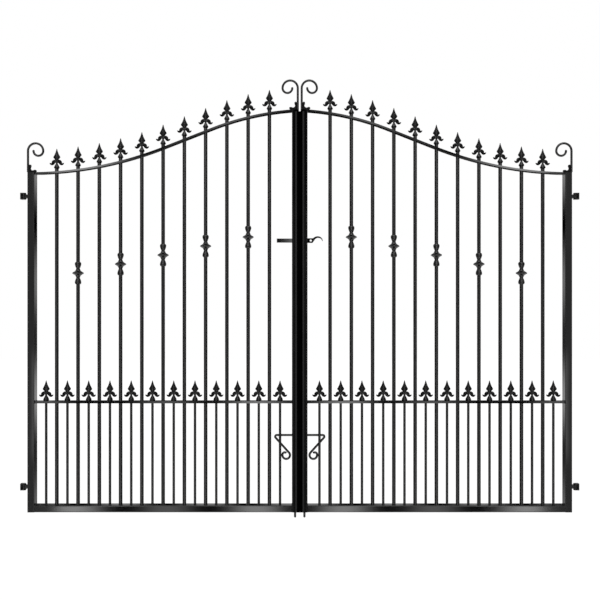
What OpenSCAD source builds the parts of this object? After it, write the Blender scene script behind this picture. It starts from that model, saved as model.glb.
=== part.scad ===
// Pair of wrought iron driveway gates with a bell curved top.
// Millimetres, +Z up. The street side looks along +Y and the leaves open away from it.
// The origin is on the wall face of the lower left hinge bracket, level with its pin.

/* [Opening] */
// Clear width between the two faces that carry the hinges
opening_w = 2440; // [2000:1:3000]
// Gap between that face and the hinge stile
wall_gap = 39; // [34:0.5:50]
// Gap between the two meeting stiles
meet_gap = 7.5; // [6:0.5:12]

/* [Frame] */
// Face width of the hinge stiles
stile_w = 30; // [26:1:60]
// Face width of the meeting stiles
meeting_w = 30; // [26:1:50]
// Depth of the box sections, front to back
frame_d = 40; // [36:1:50]
// Height of the bottom rail
bottom_h = 30; // [24:1:60]
// Wall of the box sections
box_t = 3; // [2:0.5:5]
// Outer corner radius of the box sections
box_r = 4; // [2:0.5:6]
// Height of the hinge stiles
hinge_h = 1476; // [1200:1:1800]

/* [Top curve] */
// Steepest slope of the top rail, in degrees
curve_slope = 21.4; // [8:0.1:30]
// How far the crown of the curve lies past the middle of the pair
crown_past = 53; // [10:1:200]
// Share of the curve's run taken by the hollow arc beside the hinge stile
hollow_share = 0.478; // [0.2:0.002:0.55]
// Share of the curve's run taken by the arc that ends in the crown
crown_share = 0.352; // [0.2:0.002:0.44]

/* [Rails] */
// Thickness of the top rail and the dog rail
rail_t = 8; // [6:0.5:16]
// Depth of the top rail and the dog rail, front to back
rail_d = 28; // [24:1:36]
// Height of the dog rail's centre
dog_rail_z = 478; // [300:1:700]

/* [Bars] */
// Diameter of the main bars
bar_d = 16; // [12:0.5:20]
// Diameter of the dog bars
dog_d = 11; // [8:0.5:14]
// Number of main bars in each leaf
bar_n = 11; // [5:2:15]
// Distance from the hinge stile to the middle of the first main bar
hinge_bay = 91.8; // [60:0.1:130]
// Distance from the meeting stile to the middle of the last main bar
meet_bay = 98.5; // [60:0.1:130]
// Clearance round a bar in a punched hole, on the radius
punch_gap = 0.15; // [0.1:0.05:0.5]
// Height of a main bar's end above the top rail's centre
bar_stub = 15; // [11:0.5:30]

/* [Spearheads] */
// Height of the spear's point above the widest part of the bud
spear_tip = 80.5; // [60:1:110]
// Half width of the spear
spear_half = 15.5; // [10:0.5:20]
// Depth of the spear as a share of its width
spear_flat = 0.55; // [0.3:0.05:1]
// Half span of the two curled leaves under the spear
leaf_half = 29.5; // [24:0.5:36]
// Thickness of the curled leaves
leaf_t = 9; // [5:0.5:14]
// Radius of the round lobe in each leaf's curl
lobe_r = 6; // [4:0.5:7]
// Radius of the bud
bud_r = 12.5; // [10:0.5:14]
// How far the bud's foot stays inside the bar's outline, on the radius
bar_lap = 0.4; // [0.2:0.1:1]
// Height of the bud's widest part above a main bar's end
bud_up = 6.4; // [6:0.1:14]
// Height of the bud's widest part above the dog rail
dog_bud_up = 6; // [5:0.1:12]

/* [Bushes] */
// Radius of the sharp disc on a decorated bar
disc_r = 24.5; // [16:0.5:30]
// Height of that disc
disc_h = 34; // [10:0.5:40]
// Radius of the two rings beside the disc
ring_r = 13.8; // [11:0.1:18]
// Height of a ring's side towards the disc
ring_in = 16; // [8:0.5:18]
// Height of a ring's other side
ring_out = 10; // [5:0.5:18]
// Distance from the disc's centre to a ring's centre
ring_up = 39; // [30:0.5:60]
// Height of the disc on the decorated bar nearest the hinges
disc_z_hinge = 1038; // [900:1:1300]
// How much higher the disc is on the decorated bar nearest the middle
disc_rise = 157; // [0:0.5:300]

/* [Scrolls] */
// Diameter of the scroll bar
scroll_t = 9.5; // [6:0.5:14]
// How far the middle of the scrolls lies behind the front of the stiles
scroll_in = 5; // [5:0.5:20]
// How far an outer scroll's stem stands out past the hinge stile
scroll_out = 3.2; // [0:0.1:8]
// Height of a scroll's straight stem
scroll_stem = 92; // [60:1:140]
// Radius of the outer turn, to the middle of the bar
scroll_r1 = 33; // [24:0.5:44]
// Radius of the inner turn, to the middle of the bar
scroll_r2 = 21; // [16:0.5:23]
// Width of a corner casting's arms at their round ends
corner_arm = 9.7; // [6:0.1:12]
// Radius of the round notch between those arms
corner_notch = 9.2; // [5:0.1:10]
// Thickness of the arms at their thinnest, beside the notch
corner_waist = 7.2; // [4:0.1:9]
// Thickness of a corner casting
corner_t = 10; // [6:0.5:14]
// Width and height of a corner casting
corner_leg = 32.5; // [28:0.5:36]
// Gap between a corner casting and the rail under its foot
foot_gap = 0.1; // [0.05:0.05:0.5]

/* [Hinges] */
// Height of the lower hinges
hinge_low_z = 104.6; // [80:0.1:200]
// How far the upper hinges lie below the top of the hinge stile
hinge_drop = 101.4; // [60:0.1:400]
// Height of a hinge bracket
bracket_h = 29; // [24:0.5:40]
// Thickness of the bracket's weld plate
plate_t = 4; // [3:0.5:6]
// Distance from the wall face to the pin's axis
pin_off = 14; // [13.5:0.5:18]
// Distance from the middle of the leaf back to the pin's axis
pin_back = 11; // [11:0.5:14]
// Diameter of the hinge pin
pin_d = 10; // [8:0.5:11]
// Outer radius of the lugs and of the eye between them
eye_r = 9; // [8:0.5:9.5]
// Width of the eye's neck, front to back
neck_w = 14; // [8:0.5:18]
// Height of the neck where it meets the stile
neck_h = 8; // [6:0.5:16]
// Thickness of one lug
lug_t = 4.5; // [3:0.5:6]
// Gap between the eye and each lug
eye_gap = 0.3; // [0.2:0.1:1]
// Clearance between pin and eye, on the radius
pin_gap = 0.05; // [0.02:0.01:0.1]

/* [Cover strip] */
// Width of the cover strip over the gap between the leaves
strip_w = 39; // [30:1:50]
// Width of the strip's flat face, between its sloped edges
strip_face = 24.5; // [16:0.5:30]
// Thickness of the cover strip
strip_t = 5; // [4:0.5:8]
// Thickness of the strip at its edges
strip_edge = 1.5; // [1:0.5:3]
// How much shorter the strip is than the stiles, at its top
strip_drop = 12; // [0:1:20]
// How much higher the strip ends at its bottom
strip_lift = 3; // [0:1:20]
// Height of the packers that hold the strip off the stile
packer_t = 5.5; // [5:0.5:8]
// Number of packers
packer_n = 6; // [3:1:9]
// Length of one packer
packer_h = 40; // [20:1:80]

/* [Latch] */
// Height of the latch bar's middle
latch_z = 1182; // [900:1:1300]
// Height of the latch bar
latch_h = 18; // [12:0.5:24]
// Thickness of the latch bar
latch_t = 6; // [4:0.5:8]
// Reach of the latch bar's arm to the left of the middle
latch_arm = 101; // [80:1:160]
// Gap between the stile's back and the latch bar
latch_stand = 3; // [2:0.5:6]
// Diameter of the pivot bolt
pivot_d = 8; // [6:0.5:12]
// Clearance between the pivot bolt and the latch bar, on the radius
pivot_gap = 0.05; // [0.02:0.01:0.1]
// Gap between the latch bar and the washer and nut beside it
latch_play = 0.3; // [0.1:0.1:1]
// Height of the nut on the pivot bolt
nut_h = 5; // [3:0.5:8]
// Height of the latch bar's head, round the padlock hole
head_h = 20.5; // [18:0.5:26]
// Length of the head past the padlock hole
head_end = 10; // [6:0.5:16]
// Height of the head's far corner above the middle of the latch bar
head_nose = 5; // [2:0.5:8]
// Diameter of the washer and the nut on the pivot bolt
washer_d = 15; // [13:0.5:20]
// Radius of the curled thumb piece, outside
thumb_r = 26; // [20:0.5:32]
// Height of the thumb piece's top above the middle of the latch bar
thumb_up = 19; // [12:0.5:24]
// Thickness of the thumb piece at its top
thumb_t = 5.4; // [4:0.1:7]
// Thickness of the thumb piece near its tip
thumb_tip_t = 2.6; // [2:0.1:4]
// How far below the middle of the latch bar the thumb piece is cut off level
thumb_low = 2.2; // [0:0.1:6]
// How far the thumb piece reaches into the head
thumb_lap = 1; // [0.5:0.5:3]
// Distance of the padlock hole from the middle of the pair
lock_x = 48.5; // [46:0.5:60]
// Diameter of the padlock hole
lock_d = 9; // [6:0.5:10]
// Clearance round the latch bar in its keep
keep_gap = 2; // [1:0.5:4]
// Gap between the latch bar and the lip that it rests on
keep_seat = 0.3; // [0.1:0.1:1]
// Thickness of the keep's strap
keep_t = 4; // [3:0.5:6]
// Width of the keep's strap
keep_w = 16; // [10:1:20]

/* [Drop bolts] */
// Diameter of the drop bolts and of their handles
drop_d = 10; // [8:0.5:12]
// Distance of a drop bolt from the middle of the pair
drop_x = 20.5; // [18:0.5:24]
// How far a drop bolt reaches below the frame
drop_below = 36; // [10:1:60]
// Height of the handle's top bar
handle_z = 327; // [280:1:420]
// Distance of the handle's outer bend from the middle of the pair
handle_x = 108; // [80:1:120]
// Radius of that bend
bend_r = 7; // [6:0.5:12]
// Radius of the curl at the handle's end
curl_r = 18.5; // [14:0.5:20]
// Radius of the curl's last turn
tail_r = 11; // [8:0.5:12]
// Where the last turn ends, in degrees above the level
tail_end = 35; // [20:1:90]
// Swelling of the handle along its slanted run, on the radius
run_swell = 0.3; // [0.2:0.1:1]
// Length of each bend that the slanted run covers
run_lap = 1.5; // [1:0.1:2]
// Distance of the curl's centre from the middle of the pair
curl_x = 61.5; // [60:0.5:70]
// Height of the curl's centre below the handle's top bar
curl_drop = 84; // [60:0.5:100]
// Height of the lower guide
guide_low_z = 70; // [50:1:120]
// Height of one guide
guide_h = 18; // [10:1:30]
// Clearance of the drop bolt in its guides, on the radius
guide_gap = 0.3; // [0.1:0.1:1]
// Wall of a guide round the drop bolt
guide_t = 4; // [2:0.5:8]

/* [Hidden] */
$fn = 48;
// Outlines as shares of a size: half of the spear, one curled leaf, its lobe, and the bud
SPEAR = [[0.26, 0.9], [0.92, 0.64], [1, 0.565], [0.8, 0.48], [0.5, 0.42], [0, 0.42]];
LEAF = [[0, 1.15], [0.27, 1.15], [0.56, 1.12], [0.64, 1.02], [0.71, 0.73], [1, 0.59], [0.81, 0.36],
  [0.63, 0.48], [0.43, 0.48], [0.34, 0.54], [0.2, 0.68], [0, 0.75]];
LOBE = [0.63, 0.49];
BUD = [[1, -0.015], [1, 0.015], [0.28, 0.25], [0.28, 0.38], [0.6, 0.405], [0.6, 0.443], [0, 0.443]];
// Half of a turned disc, and a ring with the side towards the disc below zero
DISC = [[0.4, -1], [0.47, -0.55], [0.71, -0.31], [1, -0.06], [1, 0.06], [0.71, 0.31], [0.47, 0.55],
  [0.4, 1]];
RING = [[0.7, -1], [0.9, -0.45], [1, -0.1], [1, 0.15], [0.93, 0.65], [0.68, 1]];
// How far the scrolls stand in front of the middle of the leaf
scroll_y = frame_d / 2 - scroll_in;
// Height of the upper hinges
hinge_high_z = hinge_h - hinge_drop;
// Number of short stretches that draw the long curve of the top rail
rail_steps = 96;
// Overshoot of a cutting shape
cut = 1;

black = "#1c1c1c";
casting = "#262626";

// One leaf is drawn on the left of the middle, x from the middle, z from the bottom of the frame
outer_x = -opening_w / 2 + wall_gap;
stile_in_x = outer_x + stile_w;
meet_x = -meet_gap / 2;
meet_in_x = meet_x - meeting_w;
clear_w = meet_in_x - stile_in_x;
pitch = (clear_w - hinge_bay - meet_bay) / (bar_n - 1);
function bar_x(i) = stile_in_x + hinge_bay + pitch * i;
function dog_x(i) = bar_x(i) - pitch / 2;

// A hollow arc, a straight stretch and a crown arc, each tangent to the next, are the middle
// line of the top rail
curve_l = crown_past - outer_x;
curve_z = hinge_h - rail_t / 2;
hollow_r = hollow_share * curve_l / sin(curve_slope);
crown_r = crown_share * curve_l / sin(curve_slope);
hollow_end = [outer_x + hollow_share * curve_l, curve_z + hollow_r * (1 - cos(curve_slope))];
crown_start = hollow_end + (1 - hollow_share - crown_share) * curve_l * [1, tan(curve_slope)];
hollow_c = [outer_x, curve_z + hollow_r];
crown_c = crown_start + crown_r * [sin(curve_slope), -cos(curve_slope)];
function rail_z(x) = x < hollow_end[0]
  ? hollow_c[1] - sqrt(pow(hollow_r, 2) - pow(x - hollow_c[0], 2))
  : x < crown_start[0] ? hollow_end[1] + (x - hollow_end[0]) * tan(curve_slope)
  : crown_c[1] + sqrt(pow(crown_r, 2) - pow(x - crown_c[0], 2));
function rail_slope(x) = x < hollow_end[0] ? asin((x - hollow_c[0]) / hollow_r)
  : x < crown_start[0] ? curve_slope
  : asin((crown_c[0] - x) / crown_r);
function rail_edge(x, off) = [x, rail_z(x) + off / cos(rail_slope(x))];
meeting_h = rail_z(meet_in_x) + rail_t / 2;

// Hinge axis, brackets and origin
pin_x = -opening_w / 2 + pin_off;
back_y = frame_d / 2;
eye_h = bracket_h - 2 * lug_t - 2 * eye_gap;

// Strip, latch and keep
strip_h = meeting_h - strip_drop - strip_lift;
latch_y = back_y + latch_stand;
pivot_x = -meet_x + meeting_w / 2;
corner_mid = corner_notch + corner_waist;
keep_x = meet_x - meeting_w / 2;

// Drop bolts
rod_r = drop_d / 2;
guide_r = rod_r + guide_gap + guide_t;
rod_y = back_y + guide_r;
guide_high_z = handle_z - bend_r - rod_r - guide_h;

module place() {
  translate([opening_w / 2, -pin_back, -hinge_low_z]) children();
}

module left_side() {
  place() children();
}

module right_side() {
  place() mirror([1, 0, 0]) children();
}

// Shared shapes

module rounded_rect(w, d, r) {
  square([w - 2 * r, d], center = true);
  square([w, d - 2 * r], center = true);
  for (sx = [-1, 1], sy = [-1, 1]) {
    translate([sx * (w / 2 - r), sy * (d / 2 - r)]) circle(r);
  }
}

module box_profile(w, d) {
  difference() {
    rounded_rect(w, d, box_r);
    square([w - 2 * box_t, d - 2 * box_t], center = true);
  }
}

// Upright box section with a welded cap, its outer side at x0
module stile(x0, w, h) {
  translate([x0 + w / 2, 0, 0]) {
    linear_extrude(h - box_t) box_profile(w, frame_d);
    translate([0, 0, h - box_t]) linear_extrude(box_t) rounded_rect(w, frame_d, box_r);
  }
}

// Gives a drawing in x and z the depth d along y, half of it on each side
module deep(d) {
  rotate([90, 0, 0]) linear_extrude(d, center = true) children();
}

module top_rail() {
  difference() {
    deep(rail_d) curve_2d();
    for (i = [0 : bar_n - 1]) {
      translate([bar_x(i), 0, rail_z(bar_x(i)) - 2 * rail_t])
        cylinder(h = 4 * rail_t, d = bar_d + 2 * punch_gap);
    }
  }
}

// Outline of the rail, walked along its top edge and back along its lower one
module curve_2d() {
  run = clear_w / rail_steps;
  polygon(concat(
    [for (k = [0 : rail_steps]) rail_edge(stile_in_x + k * run, rail_t / 2)],
    [for (k = [rail_steps : -1 : 0]) rail_edge(stile_in_x + k * run, -rail_t / 2)]));
}

module bottom_rail() {
  translate([stile_in_x, 0, bottom_h / 2]) rotate([90, 0, 90])
    linear_extrude(clear_w) box_profile(frame_d, bottom_h);
}

module dog_rail() {
  difference() {
    translate([stile_in_x, -rail_d / 2, dog_rail_z - rail_t / 2]) cube([clear_w, rail_d, rail_t]);
    for (i = [0 : bar_n - 1]) {
      translate([bar_x(i), 0, dog_rail_z - rail_t]) cylinder(h = 2 * rail_t, d = bar_d + 2 * punch_gap);
    }
    for (i = [0 : bar_n]) {
      translate([dog_x(i), 0, dog_rail_z - rail_t]) cylinder(h = 2 * rail_t, d = dog_d + 2 * punch_gap);
    }
  }
}

// Every second main bar, counted from the hinges
module main_bars(first) {
  for (i = [first : 2 : bar_n - 1]) {
    translate([bar_x(i), 0, bottom_h]) cylinder(h = rail_z(bar_x(i)) + bar_stub - bottom_h, d = bar_d);
  }
}

module dog_bars() {
  for (i = [0 : bar_n]) {
    translate([dog_x(i), 0, bottom_h]) cylinder(h = dog_rail_z + rail_t / 2 - bottom_h, d = dog_d);
  }
}

// Cast spearhead, its bud's widest part at z = 0 and its foot at z = -foot
module spearhead(foot) {
  edge = atan(1 / spear_flat);
  difference() {
    union() {
      intersection() {
        rotate([0, 0, edge]) deep(4 * leaf_half) spear_2d(cos(edge));
        rotate([0, 0, -edge]) deep(4 * leaf_half) spear_2d(cos(edge));
      }
      deep(leaf_t) {
        leaf_2d();
        mirror([1, 0]) leaf_2d();
      }
      rotate_extrude() polygon(concat([[0, -bud_up], [bar_d / 2 - bar_lap, -bud_up]],
        [for (p = BUD) [p[0] * bud_r, p[1] * spear_tip]]));
    }
    if (foot < bud_up) {
      translate([0, 0, -foot - bud_r]) cube(2 * bud_r, center = true);
    }
  }
}

// Outline of the spear, its width times k
module spear_2d(k) {
  half = [for (p = SPEAR) [p[0] * k * spear_half, p[1] * spear_tip]];
  polygon(concat([[0, spear_tip]], half));
  mirror([1, 0]) polygon(concat([[0, spear_tip]], half));
}

// One curled leaf beside the spear's neck
module leaf_2d() {
  polygon([for (p = LEAF) p * leaf_half]);
  translate(LOBE * leaf_half) circle(lobe_r);
}

module main_spearheads() {
  for (i = [0 : bar_n - 1]) {
    translate([bar_x(i), 0, rail_z(bar_x(i)) + bar_stub + bud_up]) spearhead(bud_up);
  }
}

module dog_spearheads() {
  for (i = [0 : bar_n]) {
    translate([dog_x(i), 0, dog_rail_z + rail_t / 2 + dog_bud_up]) spearhead(dog_bud_up);
  }
}

// A sharp edged disc between two rings, each bored for the bar
module bush_set() {
  turned([for (p = DISC) [p[0] * disc_r, p[1] * disc_h / 2]]);
  for (s = [0, 1]) {
    mirror([0, 0, s]) translate([0, 0, ring_up])
      turned([for (p = RING) [p[0] * ring_r, p[1] * (p[1] < 0 ? ring_in : ring_out)]]);
  }
}

// Turned piece with this outline from its bottom to its top, bored for a bar
module turned(outline) {
  bore_r = bar_d / 2 + punch_gap;
  foot = outline[0][1];
  top = outline[len(outline) - 1][1];
  rotate_extrude() polygon(concat([[bore_r, foot]], outline, [[bore_r, top]]));
}

module bushes() {
  for (i = [1 : 2 : bar_n - 1]) {
    translate([bar_x(i), 0, disc_z_hinge + disc_rise * (i - 1) / (bar_n - 3)]) bush_set();
  }
}

// Round bar scroll standing at x = 0 with its outer side there, curling towards +x
module scroll() {
  bar_r = scroll_t / 2;
  inner_x = bar_r + 2 * scroll_r1 - scroll_r2;
  translate([bar_r, 0, 0]) cylinder(h = scroll_stem, r = bar_r);
  translate([bar_r + scroll_r1, 0, scroll_stem]) rotate([90, 0, 0])
    rotate_extrude(angle = 180, $fn = 180) translate([scroll_r1, 0]) circle(bar_r);
  translate([inner_x, 0, scroll_stem]) rotate([-90, 0, 0])
    rotate_extrude(angle = 180, $fn = 120) translate([scroll_r2, 0]) circle(bar_r);
  translate([inner_x - scroll_r2, 0, scroll_stem]) sphere(bar_r);
}

module outer_scroll() {
  translate([outer_x - scroll_out, -scroll_y, hinge_h]) scroll();
}

module centre_scroll() {
  translate([meet_x, -scroll_y, meeting_h]) mirror([1, 0, 0]) scroll();
}

// Corner casting between a scroll's stem and what it stands on
module corner_2d() {
  end = corner_leg - corner_arm / 2;
  difference() {
    union() {
      square([corner_arm, end]);
      square([end, corner_arm]);
      translate([corner_arm / 2, end]) circle(d = corner_arm);
      translate([end, corner_arm / 2]) circle(d = corner_arm);
    }
    translate([corner_mid, corner_mid]) circle(corner_notch);
  }
}

module corner_castings() {
  corner_x = outer_x - scroll_out + scroll_t;
  foot_x = corner_x + corner_leg + cut;
  difference() {
    translate([corner_x, -scroll_y, hinge_h]) deep(corner_t) corner_2d();
    translate([0, -scroll_y, 0]) deep(2 * corner_t)
      polygon([[stile_in_x, hinge_h - cut], [foot_x, hinge_h - cut],
        [foot_x, rail_edge(foot_x, rail_t / 2)[1] + foot_gap],
        [stile_in_x, rail_edge(stile_in_x, rail_t / 2)[1] + foot_gap]]);
  }
  translate([meet_x - scroll_t, -scroll_y, meeting_h]) mirror([1, 0, 0]) deep(corner_t) corner_2d();
}

// Eye round the pin with a tapered neck welded to the hinge stile
module hinge_eye() {
  reach = outer_x - pin_x;
  difference() {
    union() {
      cylinder(h = eye_h, r = eye_r, center = true);
      deep(neck_w) polygon([[0, -eye_h / 2], [neck_w / 2, -eye_h / 2], [reach, -neck_h / 2],
        [reach, neck_h / 2], [neck_w / 2, eye_h / 2], [0, eye_h / 2]]);
    }
    cylinder(h = 2 * eye_h, r = pin_d / 2 + pin_gap, center = true);
  }
}

module hinge_eyes() {
  for (z = [hinge_low_z, hinge_high_z]) {
    translate([pin_x, pin_back, z]) hinge_eye();
  }
}

// Weld plate with two lugs and the pin's holes
module bracket() {
  difference() {
    union() {
      translate([-pin_off, -eye_r, -bracket_h / 2]) cube([plate_t, 2 * eye_r, bracket_h]);
      for (z0 = [-bracket_h / 2, bracket_h / 2 - lug_t]) {
        translate([0, 0, z0]) cylinder(h = lug_t, r = eye_r);
        translate([-pin_off, -eye_r, z0]) cube([pin_off, 2 * eye_r, lug_t]);
      }
    }
    cylinder(h = 2 * bracket_h, d = pin_d, center = true);
  }
}

module bracket_at(z) {
  translate([pin_x, pin_back, z]) bracket();
}

module pins() {
  for (z = [hinge_low_z, hinge_high_z]) {
    translate([pin_x, pin_back, z]) cylinder(h = bracket_h, d = pin_d, center = true);
  }
}

module bolt_guides() {
  for (z = [guide_low_z, guide_high_z]) {
    difference() {
      union() {
        translate([-drop_x - guide_r, back_y, z]) cube([2 * guide_r, guide_r, guide_h]);
        translate([-drop_x, rod_y, z]) cylinder(h = guide_h, r = guide_r);
      }
      translate([-drop_x, rod_y, z - cut]) cylinder(h = guide_h + 2 * cut, r = rod_r + guide_gap);
    }
  }
}

// Rod behind the meeting stile, its handle bent out, back down at a slant and into a curl
module drop_bolt() {
  bend = [bend_r - handle_x, handle_z - bend_r];
  curl = [-curl_x, handle_z - curl_drop];
  tail = curl + [tail_r - curl_r, 0];
  run = curl - bend;
  slant = atan2(run[1], run[0]) + acos(-(bend_r + curl_r) / norm(run));
  across = [cos(slant), sin(slant)];
  elbow = [-drop_x - bend_r, handle_z - bend_r];
  translate([-drop_x, rod_y, rod_r - drop_below]) {
    sphere(rod_r);
    cylinder(h = elbow[1] + drop_below - rod_r, r = rod_r);
  }
  rod_arc(elbow, bend_r, 0, 90);
  translate([bend[0], rod_y, handle_z]) rotate([0, 90, 0])
    cylinder(h = elbow[0] - bend[0], r = rod_r);
  rod_arc(bend, bend_r, 90, 90 + slant);
  rod_run(bend - bend_r * across, curl + curl_r * across);
  rod_arc(curl, curl_r, -180, 180 + slant);
  rod_arc(tail, tail_r, 180, tail_end - 180);
}

// Straight rod from a to b, a little thicker and longer than the bends that it joins
module rod_run(a, b) {
  d = b - a;
  translate([a[0], rod_y, a[1]]) rotate([0, 90 - atan2(d[1], d[0]), 0]) translate([0, 0, -run_lap])
    cylinder(h = norm(d) + 2 * run_lap, r = rod_r + run_swell);
}

// Rod bent round c, starting at the angle from
module rod_arc(c, r, from, turn) {
  side = sign(turn);
  translate([c[0], rod_y, c[1]]) rotate([90 * side, 0, 0]) rotate([0, 0, from * side])
    rotate_extrude(angle = abs(turn), $fn = 64) translate([r, 0]) circle(rod_r);
}

// Strip that covers the gap, held off the left meeting stile by packers
module strip() {
  back = -back_y - packer_t;
  translate([0, 0, strip_lift]) {
    linear_extrude(strip_h) polygon([[-strip_w / 2, back], [-strip_w / 2, back - strip_edge],
      [-strip_face / 2, back - strip_t], [strip_face / 2, back - strip_t],
      [strip_w / 2, back - strip_edge], [strip_w / 2, back]]);
    for (k = [0 : packer_n - 1]) {
      translate([-strip_face / 2, back, (k + 0.5) * (strip_h - packer_h) / packer_n])
        cube([strip_face / 2 + meet_x, packer_t, packer_h]);
    }
  }
}

// Strap behind the left meeting stile, open at the top, that the latch bar drops into
module keep() {
  inner_y = latch_stand + latch_t + keep_gap;
  low_z = latch_z - latch_h / 2 - keep_seat;
  translate([keep_x - keep_w / 2, back_y, low_z - keep_t]) cube([keep_w, inner_y + keep_t, keep_t]);
  translate([keep_x - keep_w / 2, back_y + inner_y, low_z - keep_t])
    cube([keep_w, keep_t, latch_h + keep_t + keep_gap]);
}

// Latch bar, drawn at its rest, with a padlock hole and a curled thumb piece
module latch() {
  difference() {
    translate([0, latch_y + latch_t / 2, latch_z]) deep(latch_t) latch_2d();
    translate([pivot_x, back_y, latch_z]) rotate([-90, 0, 0])
      cylinder(h = 4 * latch_t, r = pivot_d / 2 + pivot_gap);
    translate([lock_x, back_y, latch_z]) rotate([-90, 0, 0]) cylinder(h = 4 * latch_t, d = lock_d);
  }
}

module latch_2d() {
  head_x = lock_x + lock_d / 2;
  tail_x = head_x + head_end;
  translate([-latch_arm, -latch_h / 2]) square([latch_arm + pivot_x, latch_h]);
  translate([pivot_x, 0]) circle(d = head_h);
  translate([pivot_x, -head_h / 2]) square([head_x - pivot_x, head_h]);
  polygon([[head_x, -head_h / 2], [tail_x, head_nose], [tail_x - head_end / 2, head_h / 2],
    [head_x, head_h / 2]]);
  thumb_2d(head_x + thumb_r - thumb_lap);
}

// Crescent between two circles, thick at the top and thin at its tip, cut off level
module thumb_2d(x) {
  ease = (thumb_t - thumb_tip_t) / 2;
  z = thumb_up - thumb_r;
  inner_r = thumb_r - (thumb_t + thumb_tip_t) / 2;
  intersection() {
    difference() {
      translate([x, z]) circle(thumb_r, $fn = 120);
      translate([x + ease, z - ease]) circle(inner_r, $fn = 120);
    }
    translate([x - thumb_r, -thumb_low]) square(2 * thumb_r);
  }
}

module pivot() {
  translate([pivot_x, back_y, latch_z]) rotate([-90, 0, 0]) {
    cylinder(h = latch_stand - latch_play, d = washer_d);
    cylinder(h = latch_stand + latch_t + 2 * latch_play + nut_h, d = pivot_d);
    translate([0, 0, latch_stand + latch_t + latch_play]) cylinder(h = nut_h, d = washer_d, $fn = 6);
  }
}

module left_upper_bracket() { color(black) left_side() bracket_at(hinge_high_z); }
module left_lower_bracket() { color(black) left_side() bracket_at(hinge_low_z); }
module right_upper_bracket() { color(black) right_side() bracket_at(hinge_high_z); }
module right_lower_bracket() { color(black) right_side() bracket_at(hinge_low_z); }
module hinge_pins() {
  color(casting) {
    left_side() pins();
    right_side() pins();
  }
}

module left_hinge_stile() { color(black) left_side() stile(outer_x, stile_w, hinge_h); }
module left_meeting_stile() { color(black) left_side() stile(meet_in_x, meeting_w, meeting_h); }
module left_bottom_rail() { color(black) left_side() bottom_rail(); }
module left_top_rail() { color(black) left_side() top_rail(); }
module left_dog_rail() { color(black) left_side() dog_rail(); }
module left_plain_bars() { color(black) left_side() main_bars(0); }
module left_bushed_bars() { color(black) left_side() main_bars(1); }
module left_bushes() { color(casting) left_side() bushes(); }
module left_spearheads() { color(casting) left_side() main_spearheads(); }
module left_dog_bars() { color(black) left_side() dog_bars(); }
module left_dog_spearheads() { color(casting) left_side() dog_spearheads(); }
module left_outer_scroll() { color(black) left_side() outer_scroll(); }
module left_centre_scroll() { color(black) left_side() centre_scroll(); }
module left_corner_castings() { color(casting) left_side() corner_castings(); }
module left_hinge_eyes() { color(black) left_side() hinge_eyes(); }
module left_bolt_guides() { color(black) left_side() bolt_guides(); }
module cover_strip() { color(black) place() strip(); }
module latch_keep() { color(black) place() keep(); }

module right_hinge_stile() { color(black) right_side() stile(outer_x, stile_w, hinge_h); }
module right_meeting_stile() { color(black) right_side() stile(meet_in_x, meeting_w, meeting_h); }
module right_bottom_rail() { color(black) right_side() bottom_rail(); }
module right_top_rail() { color(black) right_side() top_rail(); }
module right_dog_rail() { color(black) right_side() dog_rail(); }
module right_plain_bars() { color(black) right_side() main_bars(0); }
module right_bushed_bars() { color(black) right_side() main_bars(1); }
module right_bushes() { color(casting) right_side() bushes(); }
module right_spearheads() { color(casting) right_side() main_spearheads(); }
module right_dog_bars() { color(black) right_side() dog_bars(); }
module right_dog_spearheads() { color(casting) right_side() dog_spearheads(); }
module right_outer_scroll() { color(black) right_side() outer_scroll(); }
module right_centre_scroll() { color(black) right_side() centre_scroll(); }
module right_corner_castings() { color(casting) right_side() corner_castings(); }
module right_hinge_eyes() { color(black) right_side() hinge_eyes(); }
module right_bolt_guides() { color(black) right_side() bolt_guides(); }
module latch_pivot() { color(black) place() pivot(); }

module latch_bar() { color(black) place() latch(); }
module left_drop_bolt() { color(black) left_side() drop_bolt(); }
module right_drop_bolt() { color(black) right_side() drop_bolt(); }

left_upper_bracket();
left_lower_bracket();
right_upper_bracket();
right_lower_bracket();
hinge_pins();
left_hinge_stile();
left_meeting_stile();
left_bottom_rail();
left_top_rail();
left_dog_rail();
left_plain_bars();
left_bushed_bars();
left_bushes();
left_spearheads();
left_dog_bars();
left_dog_spearheads();
left_outer_scroll();
left_centre_scroll();
left_corner_castings();
left_hinge_eyes();
left_bolt_guides();
cover_strip();
latch_keep();
right_hinge_stile();
right_meeting_stile();
right_bottom_rail();
right_top_rail();
right_dog_rail();
right_plain_bars();
right_bushed_bars();
right_bushes();
right_spearheads();
right_dog_bars();
right_dog_spearheads();
right_outer_scroll();
right_centre_scroll();
right_corner_castings();
right_hinge_eyes();
right_bolt_guides();
latch_pivot();
latch_bar();
left_drop_bolt();
right_drop_bolt();
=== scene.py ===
import math

import bmesh
import bpy
from mathutils import Matrix, Vector


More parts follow.
